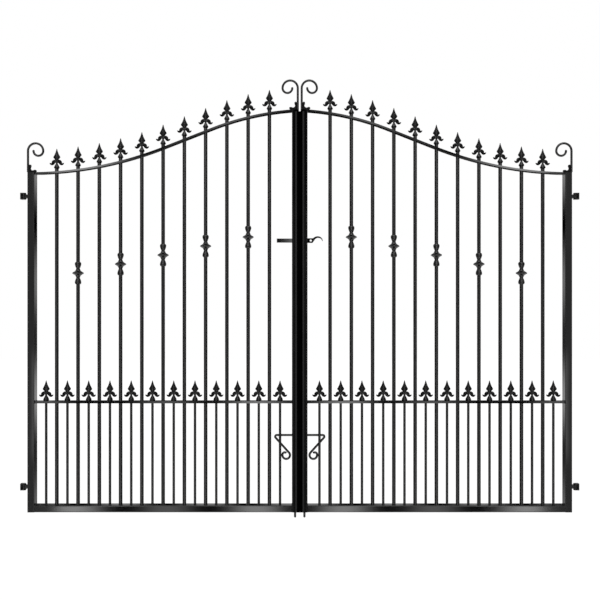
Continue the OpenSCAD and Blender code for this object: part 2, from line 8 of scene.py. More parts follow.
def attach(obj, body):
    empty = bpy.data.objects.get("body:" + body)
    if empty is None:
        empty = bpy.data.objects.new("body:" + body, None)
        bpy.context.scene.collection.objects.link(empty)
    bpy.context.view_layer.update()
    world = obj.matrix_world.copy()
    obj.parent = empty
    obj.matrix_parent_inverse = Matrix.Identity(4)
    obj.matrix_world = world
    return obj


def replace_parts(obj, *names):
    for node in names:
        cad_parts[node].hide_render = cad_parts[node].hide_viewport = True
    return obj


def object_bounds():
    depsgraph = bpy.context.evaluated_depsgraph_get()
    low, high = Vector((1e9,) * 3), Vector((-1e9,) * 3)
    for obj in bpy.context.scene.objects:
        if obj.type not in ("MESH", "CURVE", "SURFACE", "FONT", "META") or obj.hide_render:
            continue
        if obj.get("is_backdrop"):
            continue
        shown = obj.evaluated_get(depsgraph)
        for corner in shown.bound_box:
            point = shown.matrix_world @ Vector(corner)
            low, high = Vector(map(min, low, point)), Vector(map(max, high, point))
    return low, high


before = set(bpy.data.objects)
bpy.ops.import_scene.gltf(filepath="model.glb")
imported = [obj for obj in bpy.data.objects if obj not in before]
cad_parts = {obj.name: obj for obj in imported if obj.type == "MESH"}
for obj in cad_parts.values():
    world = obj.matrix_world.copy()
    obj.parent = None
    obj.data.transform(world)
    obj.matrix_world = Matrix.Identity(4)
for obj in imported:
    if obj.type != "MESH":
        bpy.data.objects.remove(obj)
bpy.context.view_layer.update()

# Sizes of one leaf in millimetres, as in the part: x from the middle of the pair, y from the
# middle of the leaf, z from the bottom of the frame. The left leaf has negative x.
LEAVES = (("left", False), ("right", True))         # the right one is drawn mirrored
OPENING = 2440.0                                    # between the faces that carry the hinges
PIN_BACK, HINGE_LOW = 11.0, 104.6                   # the lower hinge, behind and above the origin
OUTER_X, STILE_W = -1181.0, 30.0                    # hinge stile: outer face, width
MEET_X, MEET_W = -3.75, 30.0                        # meeting stile: face at the gap, width
STILE_IN, MEET_IN = OUTER_X + STILE_W, MEET_X - MEET_W
BACK_Y = 20.0                                       # half the depth of the stiles
HINGE_H, BOTTOM_H = 1476.0, 30.0                    # heights of hinge stile and bottom rail
RAIL_T, RAIL_D = 8.0, 28.0                          # top rail's thickness, depth of both rails
DOG_LOW, DOG_TOP = 472.0, 482.0                     # lower and upper face of the dog rail
BAR_N, BAR_D, DOG_D = 11, 16.0, 11.0                # number of main bars, and the diameters
HINGE_BAY, MEET_BAY = 91.8, 98.5                    # from each stile to the nearest main bar
PITCH = (MEET_IN - STILE_IN - HINGE_BAY - MEET_BAY) / (BAR_N - 1)
BAR_STUB = 15.0                                     # end of a main bar over the top rail's middle
BUD_UP, DOG_BUD_UP = 6.4, 6.0                       # bud's widest height over bar's end, dog rail
BUSH_LOW, BUSH_RISE, RING_UP = 1038.0, 157.0, 39.0  # lowest disc, rise to the highest, ring to disc
SLOPE, CROWN_PAST = math.radians(21.4), 53.0        # top rail: straight run, crown past the middle
HOLLOW_SHARE, CROWN_SHARE = 0.478, 0.352            # shares of its run in the hollow and the crown
SCROLL_R, SCROLL_R1, SCROLL_R2 = 4.75, 33.0, 21.0   # scroll: rod, outer curl, inner curl
SCROLL_STEM, SCROLL_Y, SCROLL_OUT = 92.0, 15.0, 3.2
LATCH_Y, LATCH_Z = BACK_Y + 6.0, 1182.0
PIVOT_X, LOCK_X, HOLE_R = 18.75, 48.5, 4.3          # latch bar: pivot hole, padlock hole, radius
ROD_R, BOLT_X, BOLT_LOW = 5.0, -20.5, -36.0         # drop bolt: rod, its place, its lower end
BOLT_Y = BACK_Y + ROD_R + 0.3 + 4.0                 # clear of the stile, in its guides


def bar_x(i):
    return STILE_IN + HINGE_BAY + PITCH * i


def dog_x(i):
    return bar_x(i) - PITCH / 2


RUN = CROWN_PAST - OUTER_X
CURVE_Z = HINGE_H - RAIL_T / 2
HOLLOW_R = HOLLOW_SHARE * RUN / math.sin(SLOPE)
CROWN_R = CROWN_SHARE * RUN / math.sin(SLOPE)
HOLLOW_END = (OUTER_X + HOLLOW_SHARE * RUN, CURVE_Z + HOLLOW_R * (1 - math.cos(SLOPE)))
STRAIGHT = (1 - HOLLOW_SHARE - CROWN_SHARE) * RUN
CROWN_START = (HOLLOW_END[0] + STRAIGHT, HOLLOW_END[1] + STRAIGHT * math.tan(SLOPE))
CROWN_C = (CROWN_START[0] + CROWN_R * math.sin(SLOPE), CROWN_START[1] - CROWN_R * math.cos(SLOPE))


def rail_z(x):
    """Height of the top rail's middle line: a hollow curve, a straight run, then the crown."""
    if x < HOLLOW_END[0]:
        return CURVE_Z + HOLLOW_R - math.sqrt(HOLLOW_R ** 2 - (x - OUTER_X) ** 2)
    if x < CROWN_START[0]:
        return HOLLOW_END[1] + (x - HOLLOW_END[0]) * math.tan(SLOPE)
    return CROWN_C[1] + math.sqrt(CROWN_R ** 2 - (x - CROWN_C[0]) ** 2)


MEETING_H = rail_z(MEET_IN) + RAIL_T / 2


# Mesh tools. Shapes are drawn in millimetres on the left leaf and mirrored for the right one.

def put(name, data):
    """New object in the scene."""
    obj = bpy.data.objects.new(name, data)
    bpy.context.scene.collection.objects.link(obj)
    return obj


def evaluated(obj):
    return obj.evaluated_get(bpy.context.evaluated_depsgraph_get())


def at(x, z, y=0.0):
    return Matrix.Translation((x, y, z))


class Shape:
    """Points and faces that grow into one mesh; a face's mark picks its material."""

    def __init__(self):
        self.points, self.faces, self.marks = [], [], []

    def add(self, points, faces, move=Matrix(), marks=None):
        start = len(self.points)
        self.points += [move @ Vector(p) for p in points]
        if move.determinant() < 0:
            faces = [f[::-1] for f in faces]
        self.faces += [tuple(start + i for i in f) for f in faces]
        self.marks += marks or [0] * len(faces)
        return self

    def piece(self, name, body, material, slot, mirror, sharp, second=None, even=False):
        """The object in metres, with sharp edges over an angle, or none where sharp is zero."""
        flip = -1.0 if mirror else 1.0
        points = [((OPENING / 2 + flip * p[0]) / 1000, (p[1] - PIN_BACK) / 1000,
                   (p[2] - HINGE_LOW) / 1000) for p in self.points]
        faces = [f[::-1] for f in self.faces] if mirror else self.faces
        mesh = bpy.data.meshes.new(name)
        mesh.from_pydata(points, [], faces)
        mesh.update()
        obj = put(name, mesh)
        mesh.materials.append(material)
        if second:
            mesh.materials.append(second)
            mesh.polygons.foreach_set("material_index", self.marks)
        mesh.shade_smooth()
        if sharp:
            mesh.set_sharp_from_angle(angle=math.radians(sharp))
        if even:
            obj.modifiers.new("even", "WEIGHTED_NORMAL").keep_sharp = True
        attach(obj, body)
        return obj


def ring_faces(rows, sides, closed=False):
    """Faces between rings of points, and over both ends unless the last ring meets the first."""
    faces = []
    for i in range(rows if closed else rows - 1):
        h = (i + 1) % rows
        for k in range(sides):
            j = (k + 1) % sides
            faces.append((i * sides + k, i * sides + j, h * sides + j, h * sides + k))
    if not closed:
        faces.append(tuple(range(sides - 1, -1, -1)))
        faces.append(tuple((rows - 1) * sides + k for k in range(sides)))
    return faces


def lathe(profile, sides):
    """Turned solid from (radius, height) pairs, closed where the radius is zero."""
    points, faces, rows = [], [], []
    for r, z in profile:
        if r < 1e-6:
            rows.append([len(points)] * sides)
            points.append((0, 0, z))
        else:
            rows.append([len(points) + k for k in range(sides)])
            for k in range(sides):
                a = 2 * math.pi * k / sides
                points.append((r * math.cos(a), r * math.sin(a), z))
    for low, high in zip(rows, rows[1:]):
        for k in range(sides):
            j = (k + 1) % sides
            face = list(dict.fromkeys((low[k], low[j], high[j], high[k])))
            if len(face) > 2:
                faces.append(face)
    for end in (rows[0][::-1], rows[-1]):
        if len(set(end)) > 1:
            faces.append(end)
    return points, faces


def tube(path, radii, sides, flat=1.0):
    """Rod along a path in the x and z plane; flat is its depth as a share of its width."""
    points = []
    for i, (x, y, z) in enumerate(path):
        a, b = path[max(i - 1, 0)], path[min(i + 1, len(path) - 1)]
        d = Vector((b[0] - a[0], 0, b[2] - a[2])).normalized()
        side = Vector((-d.z, 0, d.x))
        for k in range(sides):
            t = 2 * math.pi * k / sides
            p = Vector((x, y, z)) + side * (radii[i] * math.cos(t))
            points.append((p.x, p.y + radii[i] * flat * math.sin(t), p.z))
    return points, ring_faces(len(path), sides)


def arc(cx, cz, r, start, end, steps, y=0.0):
    """Points on an arc in the x and z plane, between two angles in degrees."""
    return [(cx + r * math.cos(math.radians(start + (end - start) * k / steps)), y,
             cz + r * math.sin(math.radians(start + (end - start) * k / steps)))
            for k in range(steps + 1)]


def flat_arc(cx, cz, r, start, end, steps):
    return [(x, z) for x, y, z in arc(cx, cz, r, start, end, steps)]


def smooth_path(knots):
    """Catmull-Rom curve through (x, z, r) knots, as a path and its radii."""
    path, radii, steps = [], [], 6
    for i in range(len(knots) - 1):
        p0, p1 = knots[max(i - 1, 0)], knots[i]
        p2, p3 = knots[i + 1], knots[min(i + 2, len(knots) - 1)]
        for k in range(steps + (i == len(knots) - 2)):
            t = k / steps
            v = [0.5 * (2 * b + (c - a) * t + (2 * a - 5 * b + 4 * c - d) * t * t
                        + (3 * b - a - 3 * c + d) * t ** 3) for a, b, c, d in zip(p0, p1, p2, p3)]
            path.append((v[0], 0.0, v[1]))
            radii.append(max(v[2], 0.3))
    return path, radii


def fused(shape, voxel, keep):
    """One closed casting from overlapping shapes, thinned to a share of its faces."""
    mesh = bpy.data.meshes.new("work")
    mesh.from_pydata([tuple(p) for p in shape.points], [], shape.faces)
    work = put("work", mesh)
    remesh = work.modifiers.new("remesh", "REMESH")
    remesh.mode, remesh.voxel_size = "VOXEL", voxel
    relax = work.modifiers.new("relax", "SMOOTH")
    relax.factor, relax.iterations = 0.5, 1
    work.modifiers.new("thin", "DECIMATE").ratio = keep
    done = evaluated(work).to_mesh()
    points = [tuple(v.co) for v in done.vertices]
    faces = [tuple(p.vertices) for p in done.polygons]
    work.to_mesh_clear()
    bpy.data.objects.remove(work)
    return points, faces


def outline_plate(outlines, half, edge):
    """Plate in the x and z plane with rounded edges: an outline, then its holes."""
    data = bpy.data.curves.new("work", "CURVE")
    data.dimensions, data.fill_mode = "2D", "BOTH"
    data.extrude, data.offset = half - edge, -edge
    data.bevel_depth, data.bevel_resolution = edge, 3
    for outline in outlines:
        line = data.splines.new("POLY")
        line.points.add(len(outline) - 1)
        for spot, (x, z) in zip(line.points, outline):
            spot.co = (x, z, 0, 1)
        line.use_cyclic_u = True
    work = put("work", data)
    mesh = bpy.data.meshes.new_from_object(evaluated(work))
    bm = bmesh.new()
    bm.from_mesh(mesh)
    bmesh.ops.remove_doubles(bm, verts=bm.verts, dist=0.01)
    bmesh.ops.recalc_face_normals(bm, faces=bm.faces)
    bm.to_mesh(mesh)
    bm.free()
    points = [(v.co.x, -v.co.z, v.co.y) for v in mesh.vertices]
    faces = [tuple(p.vertices) for p in mesh.polygons]
    bpy.data.objects.remove(work)
    return points, faces


def shader_node(tree, kind, inputs=None, **settings):
    """New node. A socket given for an input is linked to it, and a number or colour is set."""
    node = tree.nodes.new("ShaderNode" + kind)
    for name, value in settings.items():
        setattr(node, name, value)
    for key, value in (inputs or {}).items():
        feed(tree, node.inputs[key], value)
    return node


def feed(tree, socket, value):
    if isinstance(value, bpy.types.NodeSocket):
        tree.links.new(value, socket)
    else:
        socket.default_value = value


# Paints

def paint(name, colour, rough, grain, bump, cast=0.0, gloss=0.5, side_highlight=None):
    """Black paint: fine orange peel, a little dust and unevenness, cast texture where asked.

    Where a paler colour for the sides is given, the faces turned left or right are painted that
    colour: a painted highlight for the light they catch from the side."""
    material = bpy.data.materials.new(name)
    material.use_nodes = True
    tree = material.node_tree
    shader = tree.nodes["Principled BSDF"]
    spot = shader_node(tree, "TexCoord").outputs
    peel = shader_node(tree, "TexNoise", {"Vector": spot["Object"], "Scale": grain, "Detail": 3.0})
    cloud = shader_node(tree, "TexNoise", {"Vector": spot["Object"], "Scale": 14.0, "Detail": 6.0,
                                           "Roughness": 0.6}).outputs["Fac"]
    tone = shader_node(tree, "ValToRGB", {"Fac": cloud})
    clean, dusty = tone.color_ramp.elements
    clean.position, clean.color = 0.35, (*(c * 0.7 for c in colour), 1)
    dusty.position, dusty.color = 0.75, (colour[0] * 1.6, colour[1] * 1.6, colour[2] * 1.65, 1)
    base = tone.outputs["Color"]
    # Painted highlight: faces turned left or right are mixed towards the paler colour.
    if side_highlight:
        across = shader_node(tree, "SeparateXYZ", {0: spot["Normal"]}).outputs[0]
        sideways = shader_node(tree, "Math", {0: across}, operation="ABSOLUTE").outputs[0]
        side_highlight_mask = shader_node(tree, "MapRange", {"Value": sideways, "From Min": 0.15,
                                                "From Max": 0.45}).outputs["Result"]
        base = shader_node(tree, "Mix", {0: side_highlight_mask, 6: base, 7: (*side_highlight, 1)},
                           data_type="RGBA").outputs[2]
    dull = shader_node(tree, "MapRange", {"Value": cloud, "From Min": 0.3, "From Max": 0.7,
                                          "To Min": rough * 0.85, "To Max": rough * 1.2})
    skin = shader_node(tree, "Bump", {"Height": peel.outputs["Fac"], "Strength": bump,
                                      "Distance": 0.00008})
    if cast:
        lump = shader_node(tree, "TexNoise", {"Vector": spot["Object"], "Scale": 320.0,
                                              "Detail": 4.0})
        skin = shader_node(tree, "Bump", {"Height": lump.outputs["Fac"], "Strength": cast,
                                          "Distance": 0.0003, "Normal": skin.outputs["Normal"]})
    for key, value in (("Base Color", base), ("Roughness", dull.outputs["Result"]),
                       ("Normal", skin.outputs["Normal"]), ("Metallic", 0.0), ("IOR", 1.5),
                       ("Specular IOR Level", gloss)):
        feed(tree, shader.inputs[key], value)
    return material


# The second, darker black is painted shade, for the meeting stile and the castings' shaded leaves.
BLACK, SHADE_BLACK = (0.0008, 0.0008, 0.0009), (0.0006, 0.0006, 0.0007)
SECTION = paint("section_paint", BLACK, 0.06, 1100, 0.08)
STILE = paint("stile_paint", BLACK, 0.05, 1100, 0.03)
# The meeting stile is painted darker and less glossy than the hinge stile: painted shade.
MEETING = paint("meeting_paint", SHADE_BLACK, 0.05, 1100, 0.03, gloss=0.23)
# Cover strip: almost no gloss, so it shows flat black, which is painted shade, and its faces turned
# left or right are painted paler, which is a painted highlight.
STRIP = paint("strip_paint", (0.0003, 0.0003, 0.0003), 0.045, 1100, 0.03, gloss=0.03,
              side_highlight=(0.021, 0.021, 0.0215))
BAR = paint("bar_paint", BLACK, 0.1, 1000, 0.04)
CAST = paint("cast_paint", BLACK, 0.2, 900, 0.15, cast=0.25)
SPEAR = paint("spear_paint", BLACK, 0.2, 900, 0.15, cast=0.25, gloss=0.33)
# Darker, duller paint for the spearheads' leaves and the corner castings: painted shade.
SHADE = paint("recess_paint", SHADE_BLACK, 0.3, 900, 0.15, cast=0.25, gloss=0.12)
FORGED = paint("forged_paint", BLACK, 0.15, 900, 0.05, cast=0.02)
LATCH = paint("latch_paint", (0.0004, 0.0004, 0.0005), 0.022, 1100, 0.01, gloss=0.82)
FITTING = paint("fitting_paint", (0.0012, 0.0012, 0.0013), 0.16, 1200, 0.3, gloss=0.3)
PIN = paint("pin_paint", (0.004, 0.004, 0.0043), 0.22, 1200, 0.3)

# Paint of a CAD node, by the first of these words in its name
NODE_PAINTS = (("cover_strip", STRIP), ("bars", BAR), ("pin", PIN), ("latch_pivot", PIN),
               ("bracket", FITTING), ("eyes", FITTING), ("guides", FITTING),
               ("latch_keep", FITTING), ("spearheads", CAST), ("bushes", CAST),
               ("castings", CAST))
for name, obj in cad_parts.items():
    for s in obj.material_slots:
        s.material = next((material for word, material in NODE_PAINTS if word in name), SECTION)


# Cast spearhead: faceted spear, two curled leaves and a bud, as one casting. Heights are from the
# bud's widest height.

def spear_rings():
    """The spear from (height, half width, half depth) rows, pinched between its four edges."""
    rows = [(27, 5.2, 4.4), (31, 6.6, 4.6), (34, 7.7, 4.8), (36.4, 9.1, 5.0), (38.9, 11.2, 5.6),
            (41, 13.2, 6.4), (43, 14.8, 7.2), (45.2, 15.6, 7.6), (47.4, 15.2, 7.6), (50, 13.6, 7.2),
            (54.5, 11.0, 6.3), (59.5, 8.5, 5.3), (64.5, 6.4, 4.3), (70, 4.5, 3.4), (76, 2.8, 2.4),
            (82.2, 1.3, 1.3)]
    sides, pinch, points = 32, 1.5, []
    for z, w, d in rows:
        for k in range(sides):
            t = 2 * math.pi * k / sides
            c, s = math.cos(t), math.sin(t)
            points.append((w * math.copysign(abs(c) ** pinch, c),
                           d * math.copysign(abs(s) ** pinch, s), z))
    return points, ring_faces(len(rows), sides)


LEAF_KNOTS = [(1.0, 26.6, 6.4), (6.0, 27.4, 7.0), (11.0, 26.8, 7.7), (14.2, 24.0, 8.0),
              (16.0, 20.0, 7.4), (18.4, 16.8, 6.2), (21.6, 15.2, 5.1), (25.0, 15.9, 4.3),
              (28.2, 17.8, 3.0), (31.2, 20.6, 0.9)]
BUD = [(12.3, -0.4), (12.2, 0.8), (11.4, 2.9), (10.0, 5.8), (8.1, 9.6), (6.4, 12.8), (5.0, 15.6),
       (4.0, 19.0), (3.8, 22.0), (4.4, 27.0), (0, 29.0)]


def build_spearhead(foot):
    """The casting over a foot of (radius, height) pairs, with the faces of its leaves marked for
    the darker paint of painted shade.
    """
    leaf_sides, leaf_flat, shaded_x, shaded_low, shaded_high = 18, 0.62, 7.0, 8.0, 34.0
    path, radii = smooth_path(LEAF_KNOTS)
    shape = Shape().add(*spear_rings())
    shape.add(*tube(path, radii, leaf_sides, leaf_flat))
    shape.add(*tube([(-x, y, z) for x, y, z in path], radii, leaf_sides, leaf_flat))
    shape.add(*lathe(foot + BUD, 40))
    points, faces = fused(shape, voxel=0.5, keep=0.16)
    marks = []
    for face in faces:
        spot = sum((Vector(points[i]) for i in face), Vector()) / len(face)
        marks.append(1 if abs(spot.x) > shaded_x and shaded_low < spot.z < shaded_high else 0)
    return {"points": points, "faces": faces, "marks": marks}


RAIL_SPEAR = build_spearhead([(0, -7.4), (7.6, -7.4), (7.8, -6.0), (9.0, -4.0), (11.0, -2.0)])
DOG_SPEAR = build_spearhead([(0, -6.6), (11.2, -6.6), (11.8, -4.6), (12.2, -2.4)])

# Bush: a disc with a sharp edge, and the turned rings above and below it
HALF_DISC = [(8.15, 17), (9.1, 17), (9.5, 15), (10.4, 12.6), (12.2, 9.8), (15.4, 7.4), (19.6, 4.8),
             (22.6, 2.8), (24.2, 1.2), (24.4, 0)]
RING = [(8.15, -16), (9.0, -16), (9.6, -14.4), (10.4, -12.0), (11.6, -8.6), (12.8, -5.0),
        (13.5, -2.0), (13.8, 0.8), (13.7, 3.0), (13.2, 5.2), (12.2, 7.2), (10.8, 8.8),
        (9.6, 9.6), (9.1, 10), (8.15, 10)]
BUSH_DISC = lathe([(r, -up) for r, up in HALF_DISC] + HALF_DISC[-2::-1], 48)
RING_ABOVE, RING_BELOW = lathe(RING, 40), lathe([(r, -up) for r, up in reversed(RING)], 40)


def build_corner():
    """Corner casting with a round end on each arm, its corner at the origin."""
    arm, leg, notch, waist = 9.7, 32.5, 9.2, 7.2
    half, mid = arm / 2, notch + waist
    turned = math.degrees(math.acos((mid - arm) / notch))
    outline = [(0, 0)] + flat_arc(leg - half, half, half, -90, 90, 14)
    outline += flat_arc(mid, mid, notch, -90 + turned, -180 - turned, 24)
    outline += flat_arc(half, leg - half, half, 0, 180, 14)
    return outline_plate([outline], half=5.0, edge=1.8)


def build_scroll():
    """Scroll in one rod from its foot at the origin, with a domed tip."""
    path = [(SCROLL_R, 0, 0), (SCROLL_R, 0, SCROLL_STEM * 0.5)]
    path += arc(SCROLL_R + SCROLL_R1, SCROLL_STEM, SCROLL_R1, 180, 0, 44)
    path += arc(SCROLL_R + 2 * SCROLL_R1 - SCROLL_R2, SCROLL_STEM, SCROLL_R2, 0, -180, 36)[1:]
    radii, steps = [SCROLL_R] * len(path), 6
    end = Vector(path[-1])
    d = (end - Vector(path[-2])).normalized()
    for k in range(1, steps + 1):
        t = math.radians(90.0 * k / steps)
        path.append(tuple(end + d * (SCROLL_R * math.sin(t))))
        radii.append(max(SCROLL_R * math.cos(t), 0.05))
    return tube(path, radii, 20)


def build_bolt():
    """Drop bolt bent from one rod: a tapered foot, a handle and the curl at its end."""
    handle_z, handle_x, bend_r = 327.0, 108.0, 7.0
    curl_r, tail_r, tail_end, curl_x, curl_drop, rise_up = 16.6, 9.7, 38.0, 59.6, 88.4, 2.4
    bend = (bend_r - handle_x, handle_z - bend_r)
    centre = (-curl_x, handle_z - curl_drop)
    run = (centre[0] - bend[0], centre[1] - bend[1])
    slant = math.degrees(math.atan2(run[1], run[0])
                         + math.acos(-(bend_r + curl_r) / math.hypot(*run)))
    foot = [(0.05, 0.5), (0.6, 2.4), (2.0, 4.0), (3.4, 4.75), (5.0, ROD_R)]
    path = [(BOLT_X, BOLT_Y, BOLT_LOW + up) for up, r in foot]
    radii = [r for up, r in foot]
    straight, steps = path[-1][2], 12
    for k in range(1, steps):
        path.append((BOLT_X, BOLT_Y, straight + (handle_z - bend_r - straight) * k / steps))
    path += arc(BOLT_X - bend_r, handle_z - bend_r, bend_r, 0, 90, 10, BOLT_Y)
    path += arc(*bend, bend_r, 90, 180 + slant, 14, BOLT_Y)
    path += arc(*centre, curl_r, slant, -180, 34, BOLT_Y)
    path += arc(centre[0] + tail_r - curl_r, centre[1] + rise_up, tail_r, 180, tail_end, 20, BOLT_Y)
    tip = [ROD_R * 0.93, ROD_R * 0.75, ROD_R * 0.4]
    radii += [ROD_R] * (len(path) - len(radii) - len(tip)) + tip
    return tube(path, radii, 20)


def corner_ring(w, d, r, z, x):
    """Points round a rectangle with rounded corners, level at the height z."""
    ring, steps = [], 5
    for cx, cy, start in ((1, 1, 0), (-1, 1, 90), (-1, -1, 180), (1, -1, 270)):
        for k in range(steps + 1):
            t = math.radians(start + 90.0 * k / steps)
            ring.append((x + cx * (w / 2 - r) + r * math.cos(t),
                         cy * (d / 2 - r) + r * math.sin(t), z))
    return ring


def box_stile(x0, w, h):
    """Hollow stile from its open foot up to its welded cap, with the cap's edge ground round."""
    r, inner_r, wall, foot, edge = 2.2, 0.8, 3.0, 0.4, 0.9
    seam_z, seam_half, groove, row_step = h - 3.5, 0.9, 0.25, 120.0
    x, d, span = x0 + w / 2, 2 * BACK_Y, int(h // row_step)

    def ring(cut, z):
        """The outer face's points at the height z, set in by a cut."""
        return corner_ring(w - 2 * cut, d - 2 * cut, r - cut, z, x)

    rows = [corner_ring(w - 2 * wall, d - 2 * wall, inner_r, z, x) for z in (h - wall, 0.0)]
    rows += [ring(foot, 0.0), ring(0.0, foot)]
    rows += [ring(0.0, (seam_z - seam_half) * k / span) for k in range(1, span + 1)]
    rows += [ring(groove, seam_z), ring(0.0, seam_z + seam_half)]
    for k in range(4):
        t = math.radians(30.0 * k)
        rows.append(ring(edge * (1 - math.cos(t)), h - edge + edge * math.sin(t)))
    return [p for row in rows for p in row], ring_faces(len(rows), len(rows[0]))


def flat_bar(x0, x1, low, high):
    """Rolled flat bar along x with slightly rounded edges."""
    ring = corner_ring(RAIL_D, high - low, 0.5, 0.0, 0.0)
    points = [(x, y, (low + high) / 2 + up) for x in (x0, x1) for y, up, zero in ring]
    return points, ring_faces(2, len(ring))


def ring_weld(r, fillet):
    """Bead of weld round the foot of a bar of radius r, closed inside the bar and the rail."""
    points, rows, sides, sunk, bite, core = [], 8, 28, 0.2, 0.4, 0.7
    for i in range(rows):
        t = math.radians(90.0 * i / (rows - 2))
        for k in range(sides):
            a = 2 * math.pi * k / sides
            f = fillet * (1 + 0.13 * math.sin(9 * a) + 0.06 * math.sin(5 * a + 1.3))
            out = r - bite + f * (1 - math.sin(t)) + bite * (1 - t)
            z = f * (1 - math.cos(t)) - sunk
            if i == rows - 1:
                out, z = r - core, -sunk
            points.append((out * math.cos(a), out * math.sin(a), z))
    return points, ring_faces(rows, sides, closed=True)


def seam_weld(x, z, half, r):
    """Rippled bead along y from -half to half, with narrow ends."""
    points, sides, step = [], 8, 1.6
    n = int(2 * half / step)
    for i in range(n + 1):
        bead = r * (0.86 + 0.14 * (i % 2)) * (0.35 if i in (0, n) else 1.0)
        for k in range(sides):
            t = 2 * math.pi * k / sides
            points.append((x + bead * math.cos(t), half * (2 * i / n - 1), z - bead * math.sin(t)))
    return points, ring_faces(n + 1, sides)


# The left leaf's shapes

MIRRORED = Matrix.Scale(-1, 4, (1, 0, 0))
rail_spears, dog_spears, bushes, corners, welds = (Shape() for k in range(5))
for i in range(BAR_N):
    rail_spears.add(**RAIL_SPEAR, move=at(bar_x(i), rail_z(bar_x(i)) + BAR_STUB + BUD_UP))
    welds.add(*ring_weld(BAR_D / 2, 2.6), move=at(bar_x(i), BOTTOM_H))
    welds.add(*ring_weld(BAR_D / 2, 1.6), move=at(bar_x(i), DOG_TOP))
for i in range(BAR_N + 1):
    dog_spears.add(**DOG_SPEAR, move=at(dog_x(i), DOG_TOP + DOG_BUD_UP))
    welds.add(*ring_weld(DOG_D / 2, 2.2), move=at(dog_x(i), BOTTOM_H))
for i in range(1, BAR_N, 2):
    disc_z = BUSH_LOW + BUSH_RISE * (i - 1) / (BAR_N - 3)
    bushes.add(*BUSH_DISC, move=at(bar_x(i), disc_z))
    bushes.add(*RING_ABOVE, move=at(bar_x(i), disc_z + RING_UP))
    bushes.add(*RING_BELOW, move=at(bar_x(i), disc_z - RING_UP))
for x in (STILE_IN, MEET_IN):
    welds.add(*seam_weld(x, DOG_LOW, RAIL_D / 2, 1.5))
    welds.add(*seam_weld(x, DOG_TOP, RAIL_D / 2, 1.5))
    welds.add(*seam_weld(x, BOTTOM_H, BACK_Y - 3, 1.6))
    welds.add(*seam_weld(x, rail_z(x) - RAIL_T / 2, RAIL_D / 2, 1.5))

scroll, corner = build_scroll(), build_corner()
outer_scroll = Shape().add(*scroll, move=at(OUTER_X - SCROLL_OUT, HINGE_H, -SCROLL_Y))
centre_scroll = Shape().add(*scroll, move=at(MEET_X, MEETING_H, -SCROLL_Y) @ MIRRORED)
corners.add(*corner, move=at(OUTER_X - SCROLL_OUT + 2 * SCROLL_R, HINGE_H, -SCROLL_Y))
corners.add(*corner, move=at(MEET_X - 2 * SCROLL_R, MEETING_H, -SCROLL_Y) @ MIRRORED)
dog_flat = Shape().add(*flat_bar(STILE_IN, MEET_IN, DOG_LOW, DOG_TOP))
hinge_section = Shape().add(*box_stile(OUTER_X, STILE_W, HINGE_H))
meeting_section = Shape().add(*box_stile(MEET_IN, MEET_W, MEETING_H))
bolt = Shape().add(*build_bolt())

# Piece, shape, paint, slot, angle of the sharp edges, options, and the CAD node it stands for
# The second paint, on the spearheads' marked leaves, is painted shade.
EVEN, SHADED_LEAVES = {"even": True}, {"second": SHADE}
LEAF_PIECES = (
    ("_dog_flat", dog_flat, SECTION, "gloss_black", 35, EVEN, "_dog_rail"),
    ("_hinge_section", hinge_section, STILE, "gloss_black", 35, EVEN, "_hinge_stile"),
    ("_meeting_section", meeting_section, MEETING, "gloss_black", 35, EVEN, "_meeting_stile"),
    ("_rail_spears", rail_spears, SPEAR, "cast_trim", 0, SHADED_LEAVES, "_spearheads"),
    ("_dog_spears", dog_spears, SPEAR, "cast_trim", 0, SHADED_LEAVES, "_dog_spearheads"),
    ("_turned_bushes", bushes, CAST, "cast_trim", 35, {}, "_bushes"),
    ("_outer_curl", outer_scroll, FORGED, "gloss_black", 40, {}, "_outer_scroll"),
    ("_centre_curl", centre_scroll, FORGED, "gloss_black", 40, {}, "_centre_scroll"),
    # The corner castings are painted all over with the darker paint of painted shade.
    ("_corner_leaves", corners, SHADE, "cast_trim", 35, EVEN, "_corner_castings"),
)
for side, mirror in LEAVES:
    body = side + "_leaf"
    for name, shape, material, slot, sharp, options, node in LEAF_PIECES:
        piece = shape.piece(side + name, body, material, slot, mirror, sharp, **options)
        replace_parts(piece, side + node)
    welds.piece(side + "_weld_beads", body, FORGED, "gloss_black", mirror, 40)
    rod = bolt.piece(side + "_bolt_rod", side + "_bolt", FORGED, "moving_furniture", mirror, 40)
    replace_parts(rod, side + "_drop_bolt")


# Latch bar: flat bar with a padlock hole and a curled thumb piece, bowed a little by hand

def latch_bow(x):
    """How far the bar's middle plane stands behind its straight line at x."""
    if x < -30.0:
        return 0.42 - 0.000153 * (x + 64.0) ** 2
    if x < 15.0:
        return 0.243 - 0.0105 * (x + 30.0) + 0.000059 * (x + 30.0) ** 2
    return -0.11 - 0.0052 * (x - 15.0)


